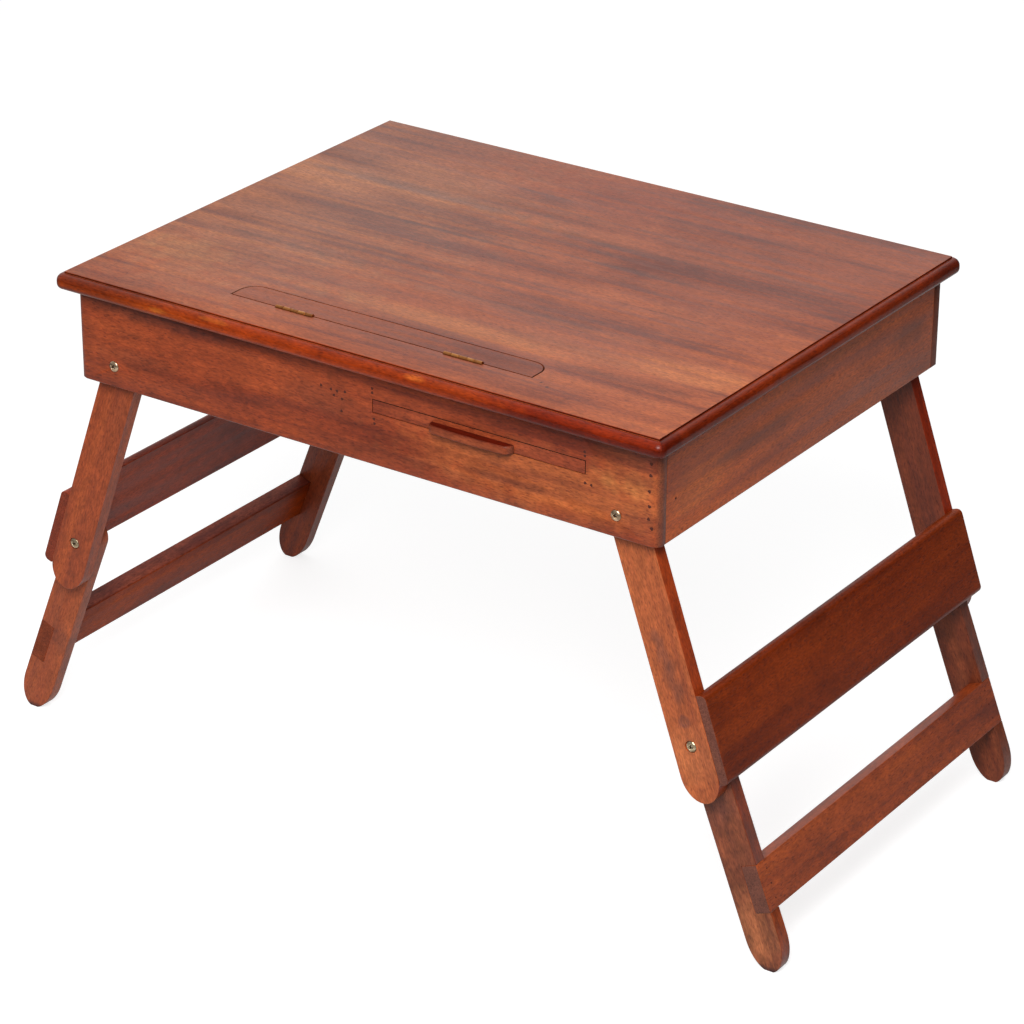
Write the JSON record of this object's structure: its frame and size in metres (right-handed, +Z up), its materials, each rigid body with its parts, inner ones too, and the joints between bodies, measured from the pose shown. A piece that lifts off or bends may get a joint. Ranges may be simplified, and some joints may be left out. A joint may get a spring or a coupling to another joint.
{
  "type": "laptop stand with drawer",
  "caption": "Folding wooden laptop stand: moulded tilting top with a flip-up book stop, shallow box with a slim drawer, and jointed splayed legs braced by boards.",
  "frame": {"origin": "on the floor under the centre of the top, with the legs open", "axes": "+X along the front towards the drawer's end, +Y from the front to the back, +Z up"},
  "size_m": [0.8072, 0.478, 0.4629],
  "materials": {
    "back_apron": "oiled, low sheen",
    "book_stop": "oiled, low sheen",
    "drawer_back": "oiled, low sheen",
    "drawer_bottom": "oiled, low sheen",
    "drawer_front": "oiled, low sheen",
    "drawer_left_side": "oiled, low sheen",
    "drawer_pull": "oiled, low sheen",
    "drawer_right_side": "oiled, low sheen",
    "front_apron": "oiled, low sheen",
    "left_back_lower_leg": "oiled, low sheen",
    "left_back_upper_leg": "oiled, low sheen",
    "left_drawer_runner": "oiled, low sheen",
    "left_end_apron": "oiled, low sheen",
    "left_front_lower_leg": "oiled, low sheen",
    "left_front_upper_leg": "oiled, low sheen",
    "left_knee_screws": "satin",
    "left_leg_board": "oiled, low sheen",
    "left_leg_stretcher": "oiled, low sheen",
    "left_pivot_screws": "satin",
    "left_pivot_washers": "satin",
    "left_prop_arm": "oiled, low sheen",
    "left_prop_block": "oiled, low sheen",
    "left_rack": "oiled, low sheen",
    "prop_rail": "oiled, low sheen",
    "right_back_lower_leg": "oiled, low sheen",
    "right_back_upper_leg": "oiled, low sheen",
    "right_drawer_runner": "oiled, low sheen",
    "right_end_apron": "oiled, low sheen",
    "right_front_lower_leg": "oiled, low sheen",
    "right_front_upper_leg": "oiled, low sheen",
    "right_knee_screws": "satin",
    "right_leg_board": "oiled, low sheen",
    "right_leg_stretcher": "oiled, low sheen",
    "right_pivot_screws": "satin",
    "right_pivot_washers": "satin",
    "right_prop_arm": "oiled, low sheen",
    "right_prop_block": "oiled, low sheen",
    "right_rack": "oiled, low sheen",
    "stop_hinge_stop_leaves": "satin",
    "stop_hinge_top_leaves": "satin",
    "top_hinge_apron_leaves": "satin",
    "top_hinge_top_leaves": "satin",
    "top_panel": "oiled, low sheen"
  },
  "bodies": {
    "box": {"front_apron": "front_apron", "back_apron": "back_apron", "right_end_apron": "right_end_apron", "left_end_apron": "left_end_apron", "left_drawer_runner": "left_drawer_runner", "right_drawer_runner": "right_drawer_runner", "right_rack": "right_rack", "left_rack": "left_rack", "top_hinge_apron_leaves": "top_hinge_apron_leaves"},
    "top": {"top_panel": "top_panel", "top_hinge_top_leaves": "top_hinge_top_leaves", "right_prop_block": "right_prop_block", "left_prop_block": "left_prop_block", "stop_hinge_top_leaves": "stop_hinge_top_leaves"},
    "book_stop": {"book_stop": "book_stop", "stop_hinge_stop_leaves": "stop_hinge_stop_leaves"},
    "prop": {"right_prop_arm": "right_prop_arm", "left_prop_arm": "left_prop_arm", "prop_rail": "prop_rail"},
    "drawer": {"drawer_front": "drawer_front", "drawer_left_side": "drawer_left_side", "drawer_right_side": "drawer_right_side", "drawer_back": "drawer_back", "drawer_bottom": "drawer_bottom", "drawer_pull": "drawer_pull"},
    "right_upper_frame": {"right_front_upper_leg": "right_front_upper_leg", "right_back_upper_leg": "right_back_upper_leg", "right_leg_board": "right_leg_board", "right_pivot_screws": "right_pivot_screws", "right_pivot_washers": "right_pivot_washers"},
    "right_lower_frame": {"right_front_lower_leg": "right_front_lower_leg", "right_back_lower_leg": "right_back_lower_leg", "right_leg_stretcher": "right_leg_stretcher", "right_knee_screws": "right_knee_screws"},
    "left_upper_frame": {"left_front_upper_leg": "left_front_upper_leg", "left_back_upper_leg": "left_back_upper_leg", "left_leg_board": "left_leg_board", "left_pivot_screws": "left_pivot_screws", "left_pivot_washers": "left_pivot_washers"},
    "left_lower_frame": {"left_front_lower_leg": "left_front_lower_leg", "left_back_lower_leg": "left_back_lower_leg", "left_leg_stretcher": "left_leg_stretcher", "left_knee_screws": "left_knee_screws"}
  },
  "joints": [
    {"name": "right_leg_fold", "type": "hinge", "parent": "box", "child": "right_upper_frame", "pos_m": [0.2543, 0, 0.3815], "axis": [0, 1, 0], "range_deg": [0, 109.2]},
    {"name": "right_knee_fold", "type": "hinge", "parent": "right_upper_frame", "child": "right_lower_frame", "pos_m": [0.32073, 0, 0.19074], "axis": [0, 1, 0], "range_deg": [0, 182.23]},
    {"name": "left_leg_fold", "type": "hinge", "parent": "box", "child": "left_upper_frame", "pos_m": [-0.2543, 0, 0.3815], "axis": [0, -1, 0], "range_deg": [0, 109.2]},
    {"name": "left_knee_fold", "type": "hinge", "parent": "left_upper_frame", "child": "left_lower_frame", "pos_m": [-0.32073, 0, 0.19074], "axis": [0, -1, 0], "range_deg": [0, 182.23]},
    {"name": "top_tilt", "type": "hinge", "parent": "box", "child": "top", "pos_m": [0, -0.2262, 0.446], "axis": [1, 0, 0], "range_deg": [0, 30]},
    {"name": "prop_swing", "type": "hinge", "parent": "top", "child": "prop", "pos_m": [0, -0.0262, 0.4404], "axis": [-1, 0, 0], "range_deg": [0, 60]},
    {"name": "book_stop_flip", "type": "hinge", "parent": "top", "child": "book_stop", "pos_m": [0, -0.1902, 0.461], "axis": [1, 0, 0], "range_deg": [0, 100]},
    {"name": "drawer_slide", "type": "slide", "parent": "box", "child": "drawer", "axis": [0, -1, 0], "range_m": [0, 0.15]}
  ],
  "couplings": [
    {"joint": "prop_swing", "follows": "top_tilt", "ratio": 2}
  ]
}
